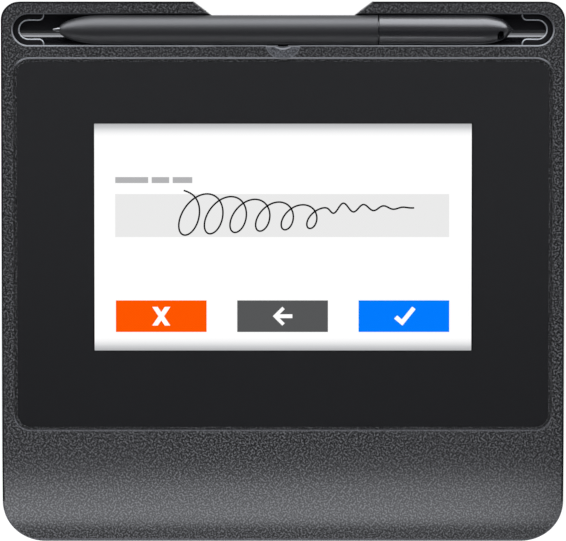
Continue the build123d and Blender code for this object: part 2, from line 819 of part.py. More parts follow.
# Steel plate behind the lock slot
with BuildPart() as lock_plate:
    with BuildSketch(Plane.YZ.offset(side_x - side_wall - pen_slack)):
        with Locations((lock_y, split_z)):
            Rectangle(
                lock_length + 2 * lock_plate_margin, ledge_bottom_z - split_z, align=(Align.CENTER, Align.MIN)
            )
        with Locations((lock_y, lock_z)):
            RectangleRounded(lock_length, lock_height, lock_corner, mode=Mode.SUBTRACT)
    extrude(amount=-lock_plate_thickness)
lock_plate.part.label = "lock_plate"

# Case screws, driven from below
with BuildPart() as case_screws:
    with BuildSketch(Plane.XY.offset(screw_head_z)):
        with Locations(*screw_places):
            Circle(screw_head_radius)
    extrude(amount=screw_head_height)
    with BuildSketch(Plane.XY.offset(screw_seat_z)):
        with Locations(*screw_places):
            Circle(screw_radius)
    extrude(amount=screw_length)
    with BuildSketch(Plane.XY.offset(screw_head_z)):
        with Locations(*screw_places):
            RegularPolygon(screw_drive_radius, side_count=6)
    extrude(amount=screw_drive_depth, mode=Mode.SUBTRACT)
case_screws.part.label = "case_screws"

# Rubber feet, let into the underside
with BuildPart() as rubber_feet:
    with BuildSketch(Plane.XY):
        with Locations(*foot_places):
            SlotOverall(foot_length - 2 * foot_clearance, foot_width - 2 * foot_clearance)
    extrude(amount=foot_stand + foot_recess)
    chamfer(rubber_feet.faces().filter_by(Axis.Z).group_by(Axis.Z)[0].edges(), foot_edge)
rubber_feet.part.label = "rubber_feet"

# Pen barrel: a turned shell with a domed nose, open at the rear for the cap's spigot
with BuildPart() as pen_barrel:
    with BuildSketch(pen_plane):
        with BuildLine():
            dome = EllipticalCenterArc(
                (nose_centre_x, 0), nose_taper, pen_radius, start_angle=90, arc_size=90 - nose_angle
            )
            Polyline(
                dome @ 1,
                (nose_x, 0),
                (barrel_end_x, 0),
                (barrel_end_x, pen_radius - seam_chamfer),
                (barrel_end_x - seam_chamfer, pen_radius),
                dome @ 0,
            )
        make_face()
    revolve(axis=pen_axis)
    with BuildSketch(pen_plane):
        with BuildLine():
            Polyline(
                (nose_x - overrun, 0),
                (nose_x - overrun, nib_radius + nib_clearance),
                (bore_start_x - barrel_bore + nib_radius, nib_radius + nib_clearance),
                (bore_start_x, barrel_bore),
                (barrel_end_x + overrun, barrel_bore),
                (barrel_end_x + overrun, 0),
                close=True,
            )
        make_face()
    revolve(axis=pen_axis, mode=Mode.SUBTRACT)
pen_barrel.part.label = "pen_barrel"

# Pen nib with its thin rod, free to slide a little way into the barrel
with BuildPart() as pen_nib:
    with BuildSketch(pen_plane):
        with BuildLine():
            tip = CenterArc((nib_tip_x + nib_tip_radius, 0), nib_tip_radius, 90, 90)
            Polyline(
                tip @ 1,
                (nib_end_x, 0),
                (nib_end_x, nib_radius),
                (nib_tip_x + nib_taper, nib_radius),
                tip @ 0,
            )
        make_face()
    revolve(axis=pen_axis)
pen_nib.part.label = "pen_nib"

# Pen chassis: a rod that holds the core, the pressure unit and the pen's board
with BuildPart() as pen_chassis:
    with BuildSketch(pen_section(chassis_x)):
        Circle(chassis_radius)
    extrude(amount=chassis_end_x - chassis_x)
    with BuildSketch(pen_plane):
        with Locations((chassis_x - overrun, 0)):
            Rectangle(unit_x - chassis_x + overrun, coil_radius + pen_slack, align=(Align.MIN, Align.MIN))
        with Locations((unit_x, 0)):
            Rectangle(unit_length, unit_radius + pen_slack, align=(Align.MIN, Align.MIN))
    revolve(axis=pen_axis, mode=Mode.SUBTRACT)
    with BuildSketch(Plane.XY.offset(pen_z + pen_board_rise)):
        with Locations((unit_end_x - pen_slack, pen_y)):
            Rectangle(pen_length, 2 * pen_radius, align=(Align.MIN, Align.CENTER))
    extrude(amount=pen_radius, mode=Mode.SUBTRACT)
pen_chassis.part.label = "pen_chassis"

with BuildPart() as pen_core:
    with BuildSketch(pen_section(core_x)):
        Circle(core_radius)
        Circle(nib_radius + nib_clearance, mode=Mode.SUBTRACT)
    extrude(amount=core_length)
pen_core.part.label = "pen_core"

with BuildPart() as pen_coil:
    with BuildSketch(pen_section(core_x + (core_length - coil_length) / 2)):
        Circle(coil_radius)
        Circle(core_radius, mode=Mode.SUBTRACT)
    extrude(amount=coil_length)
pen_coil.part.label = "pen_coil"

with BuildPart() as pressure_unit:
    with BuildSketch(pen_section(unit_x)):
        Circle(unit_radius)
    extrude(amount=unit_length)
    with BuildSketch(pen_section(unit_x)):
        Circle(nib_radius + nib_clearance)
    extrude(amount=nib_seat + 2 * nib_travel, mode=Mode.SUBTRACT)
pressure_unit.part.label = "pressure_unit"

with BuildPart() as pen_board:
    with BuildSketch(Plane.XY.offset(pen_z + pen_board_rise)):
        with Locations((pen_board_x, pen_y)):
            Rectangle(pen_board_length, pen_board_width, align=(Align.MIN, Align.CENTER))
    extrude(amount=pen_board_thickness)
pen_board.part.label = "pen_board"

# Pen cap: pointed tail with the tether slot, and a spigot that plugs into the barrel
with BuildPart() as pen_cap:
    with BuildSketch(pen_plane):
        with BuildLine():
            crown_point, cone_point, tip_point, flat_point = [
                (tail_x - setback_share * tail_length, radius_share * pen_radius)
                for setback_share, radius_share in (
                    tail_crown_shares,
                    tail_cone_shares,
                    tail_tip_shares,
                    tail_flat_shares,
                )
            ]
            shoulder = TangentArc((tail_x - tail_length, pen_radius), crown_point, tangent=(1, 0))
            crown = TangentArc(shoulder @ 1, cone_point, tangent=shoulder % 1)
            Polyline(
                crown @ 1,
                tip_point,
                flat_point,
                (tail_x, 0),
                (spigot_x, 0),
                (spigot_x, barrel_bore - pen_slack),
                (cap_start_x, barrel_bore - pen_slack),
                (cap_start_x, pen_radius - seam_chamfer),
                (cap_start_x + seam_chamfer, pen_radius),
                shoulder @ 0,
            )
        make_face()
    revolve(axis=pen_axis)
    with BuildSketch(pen_plane):
        with Locations((spigot_x - overrun, 0)):
            Rectangle(
                tail_x - cap_wall_end - spigot_x + overrun,
                barrel_bore - spigot_wall,
                align=(Align.MIN, Align.MIN),
            )
    revolve(axis=pen_axis, mode=Mode.SUBTRACT)
    tether_plane = Plane(origin=(tail_x - tether_setback, pen_y, pen_z), x_dir=(0, 1, 0), z_dir=(0, 0, 1))
    with BuildSketch(tether_plane.rotated((tether_turn, 0, 0))):
        SlotOverall(tether_slot_length, tether_slot_width)
    extrude(amount=pen_radius + overrun, both=True, mode=Mode.SUBTRACT)
pen_cap.part.label = "pen_cap"

# Write one file for each piece
os.makedirs("parts", exist_ok=True)
pieces = [
    top_housing.part,
    base_housing.part,
    pen_tray.part,
    cover_glass,
    glass_mask.part,
    glass_tape.part,
    display_frame.part,
    *stack_parts,
    sensor_board,
    shield_plate,
    main_board.part,
    board_chips.part,
    flex_sockets.part,
    display_flex,
    sensor_flex,
    board_screws.part,
    usb_shell.part,
    usb_tongue.part,
    lock_plate.part,
    case_screws.part,
    rubber_feet.part,
    pen_barrel.part,
    pen_nib.part,
    pen_chassis.part,
    pen_core.part,
    pen_coil.part,
    pressure_unit.part,
    pen_board.part,
    pen_cap.part,
]
for piece in pieces:
    export_step(piece, f"parts/{piece.label}.step")
print(len(pieces), "pieces")
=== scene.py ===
# %% [markdown]
# A signature pad for a shop counter: a low black slab with a bonded cover glass, a lit screen and a pen
# that lies in a groove behind it. The CAD model is the frame, in metres: it gives every size and place,
# and this script gives the surfaces, the screen's picture and the light.

import math

import bmesh
import bpy
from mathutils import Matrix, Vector


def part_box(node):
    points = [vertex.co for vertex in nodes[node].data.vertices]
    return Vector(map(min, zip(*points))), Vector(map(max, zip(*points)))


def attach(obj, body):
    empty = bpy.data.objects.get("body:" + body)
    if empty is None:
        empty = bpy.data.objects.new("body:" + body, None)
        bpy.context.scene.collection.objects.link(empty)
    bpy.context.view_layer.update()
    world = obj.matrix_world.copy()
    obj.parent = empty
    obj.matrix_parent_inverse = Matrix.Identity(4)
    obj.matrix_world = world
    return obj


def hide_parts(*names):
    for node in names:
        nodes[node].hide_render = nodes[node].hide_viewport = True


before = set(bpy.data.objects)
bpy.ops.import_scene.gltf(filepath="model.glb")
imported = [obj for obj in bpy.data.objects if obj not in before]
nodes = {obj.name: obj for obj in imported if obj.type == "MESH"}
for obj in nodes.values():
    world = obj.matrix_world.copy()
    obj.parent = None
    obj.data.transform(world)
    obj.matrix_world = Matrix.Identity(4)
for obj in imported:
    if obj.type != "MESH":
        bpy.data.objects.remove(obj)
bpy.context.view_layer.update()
MM = 0.001

# %% [markdown]
# Every finish starts from colours read as sRGB hex values. Shaders work in linear light, so one function
# does that step. A finish is a tree of nodes, and one small function adds a node with its settings and
# links, which keeps each finish short enough to read as a recipe.

# %% Colours and nodes
def linear(hex_colour):
    """Linear RGBA for an sRGB hex value."""
    shares = [int(hex_colour[i:i + 2], 16) / 255 for i in (1, 3, 5)]
    return [c / 12.92 if c <= 0.04045 else ((c + 0.055) / 1.055) ** 2.4 for c in shares] + [1.0]


def add_node(tree, kind, inputs=None, **settings):
    """Adds a node, sets its properties, and gives its sockets values or links."""
    node = tree.nodes.new(kind)
    for name, value in settings.items():
        setattr(node, name, value)
    for name, value in (inputs or {}).items():
        if isinstance(value, bpy.types.NodeSocket):
            tree.links.new(value, node.inputs[name])
        else:
            node.inputs[name].default_value = value
    return node


def new_finish(name):
    """An empty material, its tree, and the Principled shader that ends it."""
    material = bpy.data.materials.new(name)
    material.use_nodes = True
    tree = material.node_tree
    return material, tree, tree.nodes["Principled BSDF"]


print("#808080 is", round(linear("#808080")[0], 3), "in linear light")

# %% [markdown]
# A mould leaves its grain on what it makes. Noise is a good stand-in: the same noise gives the two close
# shades and the relief, so that dark spots are also the low ones. It reads Object coordinates, which
# stay with the piece when it moves, and its size is given in millimetres.

# %% Grain and relief
def ramp_between(tree, factor, low, high, start=0.0, end=1.0):
    """Colour output that runs from one hex colour to another as the factor goes from start to end."""
    ramp = add_node(tree, "ShaderNodeValToRGB", {"Fac": factor})
    ramp.color_ramp.elements[0].position, ramp.color_ramp.elements[1].position = start, end
    ramp.color_ramp.elements[0].color, ramp.color_ramp.elements[1].color = linear(low), linear(high)
    return ramp.outputs["Color"]


def noise_of(tree, grain_mm, detail=2.0, roughness=0.5, stretch=(1, 1, 1), flat=False, turned=0.0):
    """Noise in the object's own millimetres: grain_mm is the width of one light and one dark patch."""
    place = add_node(tree, "ShaderNodeTexCoord").outputs["Object"]
    scaled = add_node(
        tree, "ShaderNodeMapping", {"Vector": place, "Scale": stretch, "Rotation": (0, 0, turned)}
    )
    inputs = {"Vector": scaled.outputs["Vector"], "Scale": 1 / (grain_mm * MM)}
    inputs.update({"Detail": detail, "Roughness": roughness})
    dimensions = "2D" if flat else "3D"
    return add_node(tree, "ShaderNodeTexNoise", inputs, noise_dimensions=dimensions).outputs["Fac"]


def bump(tree, shader, height, depth_mm, strength=1.0):
    """Gives a shader the fine relief of a height pattern, depth_mm deep."""
    relief = add_node(
        tree, "ShaderNodeBump", {"Height": height, "Distance": depth_mm * MM, "Strength": strength}
    )
    tree.links.new(relief.outputs["Normal"], shader.inputs["Normal"])


def moulded(name, dark, light, grain_mm, depth_mm, rough, specular=0.5):
    """A moulded plastic or rubber: two close shades in the grain of its mould, with relief to match."""
    material, tree, shader = new_finish(name)
    grain = noise_of(tree, grain_mm)
    tree.links.new(ramp_between(tree, grain, dark, light, 0.3, 0.7), shader.inputs["Base Color"])
    shader.inputs["Roughness"].default_value = rough
    shader.inputs["Specular IOR Level"].default_value = specular
    bump(tree, shader, grain, depth_mm)
    return material


def dress(material, *names):
    """Gives CAD nodes one finish, and leaves their shape alone."""
    for name in names:
        nodes[name].data.materials.clear()
        nodes[name].data.materials.append(material)
    print(material.name, "on", ", ".join(names))


# %% [markdown]
# The camera comes first, because everything is judged through it. The photograph is a product shot from
# above with a long lens. The front edge comes out a little narrower and the front wall shows a little
# less than the rear one, so the lens stands behind the middle and looks back at it, 3.5 degrees off the
# vertical and 1.36 m away.

# %% Camera
camera_distance, camera_tilt = 1.36, math.radians(3.49)
film_width_mm = 36
view_width, view_height = 161.55 * MM, 9.1 * MM
view_x, view_y = 0.014 * MM, 0.74 * MM
towards_camera = Vector((0, math.sin(camera_tilt), math.cos(camera_tilt)))
camera_data = bpy.data.cameras.new("camera")
camera_data.sensor_width = film_width_mm
camera_data.lens = film_width_mm * camera_distance / view_width
camera = bpy.data.objects.new("camera", camera_data)
camera.location = Vector((view_x, view_y, view_height)) + camera_distance * towards_camera
camera.rotation_euler = (-camera_tilt, 0, 0)
bpy.context.scene.collection.objects.link(camera)
bpy.context.scene.camera = camera
print("lens", round(camera_data.lens, 1), "mm")

# %% [markdown]
# A black glossy thing shows what stands around it, so the studio is designed by what each surface should
# mirror. Seen from the camera, the flat glass mirrors the strip of ceiling from one to six degrees in
# front of the vertical. That strip falls from grey to dark, which darkens the glass towards its user. The
# rest of the room gets brighter towards the horizon but stays soft, because bright walls would wash out
# the housing in low views. All of it is painted in the world by direction: first across, from front to
# rear over the ceiling, and then the two sides, which have one brightness.

# %% Studio walls and ceiling
scene = bpy.context.scene
scene.view_settings.view_transform = "Standard"  # keeps the screen's colours as they are given
world = bpy.data.worlds.new("studio")
world.use_nodes = True
scene.world = world
sky = world.node_tree
cool_light = (0.97, 0.99, 1.05)
# Degrees off the vertical, minus towards the front, and how bright the room is there
wall_stops = [
    (-90, 1.25), (-75, 1.1), (-60, 0.6), (-50, 0.3), (-39, 0.15), (-22, 0.1), (-7, 0.1), (-5, 0.2),
    (-4, 0.35), (-3, 0.52), (0, 0.52), (6, 0.4), (20, 0.45), (30, 0.7), (45, 1.0), (60, 1.3), (90, 1.5),
]
side_radiance, side_start, side_end = 0.6, 0.85, 0.97
# A ramp's colours end at 1, so it holds shares of the brightest wall, and the strength makes up for that
brightest = max(radiance for degrees, radiance in wall_stops)

facing = add_node(sky, "ShaderNodeTexCoord").outputs["Generated"]
toward = add_node(sky, "ShaderNodeSeparateXYZ", {"Vector": facing}).outputs
off_vertical = add_node(sky, "ShaderNodeMath", {0: toward["Y"], 1: toward["Z"]}, operation="ARCTAN2")
front_to_rear = add_node(
    sky,
    "ShaderNodeMapRange",
    {"Value": off_vertical.outputs[0], "From Min": -math.pi / 2, "From Max": math.pi / 2},
)
walls = add_node(sky, "ShaderNodeValToRGB", {"Fac": front_to_rear.outputs["Result"]})
walls.color_ramp.elements.remove(walls.color_ramp.elements[0])
for number, (degrees, radiance) in enumerate(wall_stops):
    share = degrees / 180 + 0.5
    stop = walls.color_ramp.elements.new(share) if number else walls.color_ramp.elements[0]
    stop.position = share
    stop.color = [radiance / brightest * tint for tint in cool_light] + [1.0]
sideways = add_node(sky, "ShaderNodeMath", {0: toward["X"]}, operation="ABSOLUTE")
side_share = add_node(
    sky,
    "ShaderNodeMapRange",
    {"Value": sideways.outputs[0], "From Min": side_start, "From Max": side_end},
    interpolation_type="SMOOTHSTEP",
)
side_colour = [side_radiance / brightest] * 3 + [1.0]
painted = add_node(
    sky,
    "ShaderNodeMix",
    {0: side_share.outputs["Result"], 6: walls.outputs["Color"], 7: side_colour},
    data_type="RGBA",
)
sky.links.new(painted.outputs[2], sky.nodes["Background"].inputs["Color"])
sky.nodes["Background"].inputs["Strength"].default_value = brightest
print("room painted in", len(wall_stops), "stops, up to", brightest)

# %% [markdown]
# Four soft boxes do what the walls can't. The palm rest glows towards its front, though the glass beside
# it doesn't: a box hangs low before the pad, 10 cm over the table, where the palm rest sees it at 17 to
# 50 degrees off the vertical. An overhead key gives the housing its even grey, and nothing mirrors it,
# because the glass would show it as a white patch. The pen is a cylinder, so it shows every direction
# from front to rear as a line along it, and its bright lines want bright walls behind the pad. Those two
# boxes light the pen and its tray alone: light linking names a collection that receives them.

# %% Soft boxes
def soft_box(name, place, facing, width, depth, radiance, receivers=None, in_gloss=True):
    """A rectangular soft light of a given brightness, which the camera itself doesn't see."""
    light = bpy.data.lights.new(name, "AREA")
    light.shape, light.size, light.size_y = "RECTANGLE", width, depth
    light.energy, light.color = radiance * math.pi * width * depth, cool_light
    lamp = bpy.data.objects.new(name, light)
    lamp.location = place
    lamp.rotation_euler = Vector(facing).to_track_quat("-Z", "Y").to_euler()
    lamp.visible_camera = False
    lamp.visible_glossy = in_gloss
    if receivers:
        lamp.light_linking.receiver_collection = receivers
    scene.collection.objects.link(lamp)
    print(name, "at", place, "m")


straight_down, to_front = (0, 0, -1), (0, -1, 0)
key_x, key_y, key_z = 0.0, 0.25, 0.95
rear_y, rear_width = 0.4, 2.0
pen_and_tray = bpy.data.collections.new("pen_and_tray")
soft_box(
    "front_box", (-0.057, -0.129, 0.101), straight_down, width=0.285, depth=0.078, radiance=3.4
)
soft_box(
    "overhead_key", (key_x, key_y, key_z), (-key_x, -key_y, -key_z),
    width=0.9, depth=0.9, radiance=5.3, in_gloss=False,
)
soft_box(
    "rear_low_box", (0.0, rear_y, 0.18), to_front,
    width=rear_width, depth=0.36, radiance=8.2, receivers=pen_and_tray,
)
soft_box(
    "rear_high_box", (0.0, rear_y, 0.5), to_front,
    width=rear_width, depth=0.28, radiance=3.0, receivers=pen_and_tray,
)

# %% [markdown]
# The table is a lit one of polished opal acrylic, as product photographers use it, so it stays white up
# to the object and through the finger gap. Its own light does that, and its polish mirrors the pale
# walls at a low angle.

# %% Light table
table_glow, table_rough, table_reach = 0.86, 0.15, 4.0
opal_acrylic, opal_tree, opal_shader = new_finish("opal_acrylic")
opal_tone = ramp_between(opal_tree, noise_of(opal_tree, 3.0), "#5a5b5b", "#606060")
opal_tree.links.new(opal_tone, opal_shader.inputs["Base Color"])
opal_shader.inputs["Roughness"].default_value = table_rough
opal_shader.inputs["Emission Color"].default_value = (1.0, 1.0, 1.0, 1.0)
opal_shader.inputs["Emission Strength"].default_value = table_glow
floor_mesh = bpy.data.meshes.new("floor")
floor_corners = [(table_reach * x, table_reach * y, 0) for x, y in [(-1, -1), (1, -1), (1, 1), (-1, 1)]]
floor_mesh.from_pydata(floor_corners, [], [(0, 1, 2, 3)])
floor_mesh.materials.append(opal_acrylic)
floor = bpy.data.objects.new("floor", floor_mesh)
scene.collection.objects.link(floor)
print("table", 2 * table_reach, "m wide")

# %% [markdown]
# The housing is moulded ABS with a spark-eroded texture: a fine random grain of tiny pits that makes the
# black read as dark grey with sparkle. Painted light lies over the grain. The rims of the groove and of the
# glass pocket carry painted highlights, and the pen's painted shadow darkens part of the groove's rim. The
# smooth thumb scoop is painted lighter as a painted sheen. Each of these is a band at a distance from a
# rectangle with round corners, a circle being one too, and the shader works that distance out from the place
# in millimetres.

# %% Places on the housing
shell_low, shell_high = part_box("top_housing")
glass_low, glass_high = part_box("cover_glass")
barrel_low, barrel_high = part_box("pen_barrel")
pen_y = (barrel_low.y + barrel_high.y) / 2
groove_half_length, groove_half_width = 76.9 * MM, 4.4 * MM
pocket_gap, glass_corner = 0.35 * MM, 4.1 * MM
pocket_half = (glass_high - glass_low) / 2 + Vector((pocket_gap, pocket_gap, 0))
scoop_radius, scoop_reach = 5.08 * MM, 3.95 * MM
scoop_y = pen_y - groove_half_width - scoop_reach + scoop_radius
print("pen at y", round(pen_y / MM, 2), "mm, scoop at y", round(scoop_y / MM, 2), "mm")


def place_axes(tree):
    """The X, Y and Z of each point on the piece, in metres."""
    place = add_node(tree, "ShaderNodeTexCoord").outputs["Object"]
    return add_node(tree, "ShaderNodeSeparateXYZ", {"Vector": place}).outputs


def distance_from(tree, centre, half_width, half_depth, corner):
    """Distance outwards from a rectangle with round corners, seen from above; minus inside its edge."""
    place = add_node(tree, "ShaderNodeTexCoord").outputs["Object"]
    moved = add_node(tree, "ShaderNodeVectorMath", {0: place, 1: (*centre, 0)}, operation="SUBTRACT")
    folded = add_node(tree, "ShaderNodeVectorMath", {0: moved.outputs[0]}, operation="ABSOLUTE")
    straight = (half_width - corner, half_depth - corner, 1.0)
    past = add_node(tree, "ShaderNodeVectorMath", {0: folded.outputs[0], 1: straight}, operation="SUBTRACT")
    kept = add_node(tree, "ShaderNodeVectorMath", {0: past.outputs[0], 1: (0, 0, 0)}, operation="MAXIMUM")
    run = add_node(tree, "ShaderNodeVectorMath", {0: kept.outputs[0]}, operation="LENGTH")
    outwards = add_node(tree, "ShaderNodeMath", {0: run.outputs["Value"], 1: corner}, operation="SUBTRACT")
    return outwards.outputs[0]


def band(tree, distance, low_mm, high_mm, soft_mm=0.06):
    """1 where a distance lies between two values, 0 outside, with a soft change over soft_mm."""
    middle, half = (low_mm + high_mm) / 2 * MM, (high_mm - low_mm) / 2 * MM
    off = add_node(tree, "ShaderNodeMath", {0: distance, 1: middle}, operation="SUBTRACT")
    size = add_node(tree, "ShaderNodeMath", {0: off.outputs[0]}, operation="ABSOLUTE")
    ends = {"From Min": half + soft_mm * MM, "From Max": half - soft_mm * MM}
    return add_node(tree, "ShaderNodeMapRange", {"Value": size.outputs[0], **ends}).outputs["Result"]


# %% [markdown]
# The real pits are about 0.1 mm wide. They are drawn at 0.5 mm, which is two pixels here, so that they
# show. The noise is flat, because the housing's top cuts solid noise in one slice and that slice shows
# blobs, and it is turned, so that its own grid doesn't line up with the pixels.

# %% Housing: the grain
textured_abs, abs_tree, abs_shader = new_finish("spark_eroded_abs")
pit_mm, pit_turn, pit_depth_mm, abs_rough = 0.5, math.radians(38), 0.011, 0.3
pits = noise_of(abs_tree, pit_mm, 0.6, flat=True, turned=pit_turn)
grain_colour = ramp_between(abs_tree, pits, "#000000", "#434344", 0.41, 0.76)
housing_at = place_axes(abs_tree)
print("pits drawn at", pit_mm, "mm")

# %% [markdown]
# A painted highlight lies along the pocket's rim, on its rear side only. The thumb scoop is a shallow smooth
# bowl between the groove and the glass, and its bowl is painted lighter as a painted sheen. Its rim has a
# painted highlight of its own. A painted glint marks the lip where it meets the groove: that lip follows the
# groove, but dips towards the user in the middle.

# %% Housing: painted highlights and sheen on the pocket rim and thumb scoop
pocket_rim_mm, scoop_mm, scoop_rim_mm, lip_mm = (0.1, 0.6), (-8.0, 0.0), (-0.1, 0.1), (0.12, 0.55)
rear_side_start, rear_side_end = 59 * MM, 60.5 * MM
lip_half_width, lip_dip = 2.4 * MM, 0.75 * MM

pocket_middle = (0, (glass_low.y + glass_high.y) / 2)
from_pocket = distance_from(
    abs_tree, pocket_middle, pocket_half.x, pocket_half.y, glass_corner + pocket_gap
)
rear_side = add_node(
    abs_tree,
    "ShaderNodeMapRange",
    {"Value": housing_at["Y"], "From Min": rear_side_start, "From Max": rear_side_end},
)
# Painted highlight on the pocket's rim, kept to its rear side
pocket_rim_highlight = add_node(
    abs_tree,
    "ShaderNodeMath",
    {0: band(abs_tree, from_pocket, *pocket_rim_mm), 1: rear_side.outputs["Result"]},
    operation="MULTIPLY",
)
from_scoop = distance_from(abs_tree, (0, scoop_y), scoop_radius, scoop_radius, scoop_radius)
in_scoop = band(abs_tree, from_scoop, *scoop_mm)
# Painted highlight on the scoop's rim
scoop_rim_highlight = band(abs_tree, from_scoop, *scoop_rim_mm, soft_mm=0.1)
rim_highlights = add_node(
    abs_tree, "ShaderNodeMath", {0: pocket_rim_highlight.outputs[0], 1: scoop_rim_highlight}, operation="MAXIMUM"
)

from_groove = distance_from(
    abs_tree, (0, pen_y), groove_half_length, groove_half_width, groove_half_width
)
across = add_node(abs_tree, "ShaderNodeMath", {0: housing_at["X"], 1: lip_half_width}, operation="DIVIDE")
squared = add_node(abs_tree, "ShaderNodeMath", {0: across.outputs[0], 1: 2.0}, operation="POWER")
dip_share = add_node(
    abs_tree, "ShaderNodeMath", {0: 1.0, 1: squared.outputs[0]}, operation="SUBTRACT", use_clamp=True
)
from_lip = add_node(
    abs_tree,
    "ShaderNodeMath",
    {0: dip_share.outputs[0], 1: -lip_dip, 2: from_groove},
    operation="MULTIPLY_ADD",
)
# Painted glint on the scoop's lip, where it meets the groove
scoop_lip_glint = add_node(
    abs_tree,
    "ShaderNodeMath",
    {0: band(abs_tree, from_lip.outputs[0], *lip_mm), 1: in_scoop},
    operation="MULTIPLY",
)
# Painted sheen: the bowl is drawn lighter than the grain
bowl_sheen_colour = ramp_between(abs_tree, pits, "#2c2d2f", "#626366", 0.3, 0.7)
print("scoop", round(2 * scoop_radius / MM, 1), "mm across")

# %% [markdown]
# The groove's rim carries a painted highlight. It is brightest towards the user, where its edge faces the
# light from behind, and fades round its ends to dark at the rear. Beside the pen the rear side is darker
# still, as a painted shadow of the pen.

# %% Housing: groove rim with its painted highlight and pen shadow
groove_rim_mm = (-0.2, 0.34)
dark_rim_y, bright_rim_y = pen_y + 4 * MM, pen_y - 4.3 * MM
ends_from, pen_within = 58 * MM, 40 * MM

groove_rim = band(abs_tree, from_groove, *groove_rim_mm)
lit_side_share = add_node(
    abs_tree,
    "ShaderNodeMapRange",
    {"Value": housing_at["Y"], "From Min": dark_rim_y, "From Max": bright_rim_y},
    interpolation_type="SMOOTHSTEP",
).outputs["Result"]
off_middle = add_node(abs_tree, "ShaderNodeMath", {0: housing_at["X"]}, operation="ABSOLUTE")
pen_shadow_share = add_node(
    abs_tree,
    "ShaderNodeMapRange",
    {"Value": off_middle.outputs[0], "From Min": ends_from, "From Max": pen_within},
)
# Painted highlight at the rim's ends; beside the pen, painted highlight at the front and the pen's painted
# shadow at the rear
end_rim_light = ramp_between(abs_tree, lit_side_share, "#303133", "#88898c", 0.1, 1.0)
rim_light_and_pen_shadow = ramp_between(abs_tree, lit_side_share, "#161617", "#88898c", 0.3, 1.0)
painted_rim_light = add_node(
    abs_tree, "ShaderNodeMix", {0: pen_shadow_share.outputs["Result"], 6: end_rim_light, 7: rim_light_and_pen_shadow}, data_type="RGBA"
)
print("groove rim", round(groove_rim_mm[1] - groove_rim_mm[0], 2), "mm wide")

# %% [markdown]
# The painted zones are laid over the grain one after another, like stencils: each mixes its colour in where
# its share is 1. The rims and the scoop have no pits, so the relief is taken out there.

# %% Housing: colour and relief
# Painted sheen on the bowl, painted glint on the lip, painted highlights on the rims, then the groove rim's
# painted light and shadow
stencils = [
    (in_scoop, bowl_sheen_colour),
    (scoop_lip_glint.outputs[0], linear("#9c9da0")),
    (rim_highlights.outputs[0], linear("#5c5d5f")),
    (groove_rim, painted_rim_light.outputs[2]),
]
housing_colour = grain_colour
for share, colour in stencils:
    laid = {0: share, 6: housing_colour, 7: colour}
    housing_colour = add_node(abs_tree, "ShaderNodeMix", laid, data_type="RGBA").outputs[2]
abs_tree.links.new(housing_colour, abs_shader.inputs["Base Color"])
abs_shader.inputs["Roughness"].default_value = abs_rough

rims = add_node(abs_tree, "ShaderNodeMath", {0: rim_highlights.outputs[0], 1: groove_rim}, operation="MAXIMUM")
smooth_parts = add_node(abs_tree, "ShaderNodeMath", {0: rims.outputs[0], 1: in_scoop}, operation="MAXIMUM")
pitted = add_node(
    abs_tree, "ShaderNodeMath", {0: 1.0, 1: smooth_parts.outputs[0]}, operation="SUBTRACT", use_clamp=True
)
bump(abs_tree, abs_shader, pits, pit_depth_mm, pitted.outputs[0])
print(textured_abs.name, "has", len(abs_tree.nodes), "nodes")

# %% [markdown]
# The other outer parts are moulded or painted plastic as well, and differ in how they send light back. A
# rough one with no gloss reads as flat black, a smooth one shows bright lines. Each is named for what it
# is, with its dark and light shade, grain and relief in millimetres, roughness and gloss.

# %% Other outer finishes
# Painted shade: the housing's outer edge is made dark and without gloss, so it shows as an even black
# outline
dark_edge_abs = moulded("painted_dark_edge", "#101011", "#1a1a1b", 0.8, 0.005, 0.85, 0.0)
# Painted highlight: at the front end, and where the palm rest meets the glass, the rounded edge is painted
# paler as a faint lit line
painted_light_front_edge = moulded("painted_light_front_edge", "#303031", "#505052", 0.45, 0.01, 0.85, 0.0)
# The base is a coarser black that sinks into its own shadow
base_abs = moulded("base_abs", "#101112", "#1a1b1c", 0.8, 0.03, 0.6)
# Rubber is black with hardly a glint
rubber = moulded("foot_rubber", "#0c0c0d", "#151516", 0.5, 0.03, 0.85, 0.3)
# The barrel's soft-touch paint spreads the bright wall into a broad sheen
soft_paint = moulded("soft_touch_paint", "#0a0a0b", "#0e0e0f", 0.25, 0.004, 0.42, 0.38)
# The cap is bare satin plastic, so its line is narrower and brighter
satin_abs = moulded("satin_abs", "#08080a", "#0c0c0d", 0.4, 0.002, 0.25)
# The nib is polished by use, and glints like a wet tip
nib_pom = moulded("nib_acetal", "#060607", "#09090a", 0.3, 0.001, 0.06, 1.0)
# The tray's rear flank lies in the pen's shadow, and stays black
shaded_abs = moulded("shaded_tray_abs", "#040405", "#070708", 0.5, 0.001, 0.5, 0.1)
# Painted highlight: the tray's brim is painted grey, so it shows as a fine lit line
brim_highlight_abs = moulded("painted_brim_highlight", "#48494b", "#585a5c", 0.5, 0.001, 0.4)
print(len(bpy.data.materials), "finishes so far")

# %% [markdown]
# The tray is polished ABS. Polished black plastic has hardly a colour of its own: it shows the room. A
# long, very low ripple keeps the mirror from being too perfect, as moulded gloss never is.

# %% Polished tray
ripple_mm, ripple_depth_mm, polish = 6.0, 0.003, 0.07
gloss_abs, gloss_tree, gloss_shader = new_finish("polished_abs")
ripple = noise_of(gloss_tree, ripple_mm, 1.0)
gloss_tree.links.new(
    ramp_between(gloss_tree, ripple, "#040405", "#070708"), gloss_shader.inputs["Base Color"]
)
gloss_shader.inputs["Roughness"].default_value = polish
bump(gloss_tree, gloss_shader, ripple, ripple_depth_mm)
print(gloss_abs.name, "ripples every", ripple_mm, "mm")

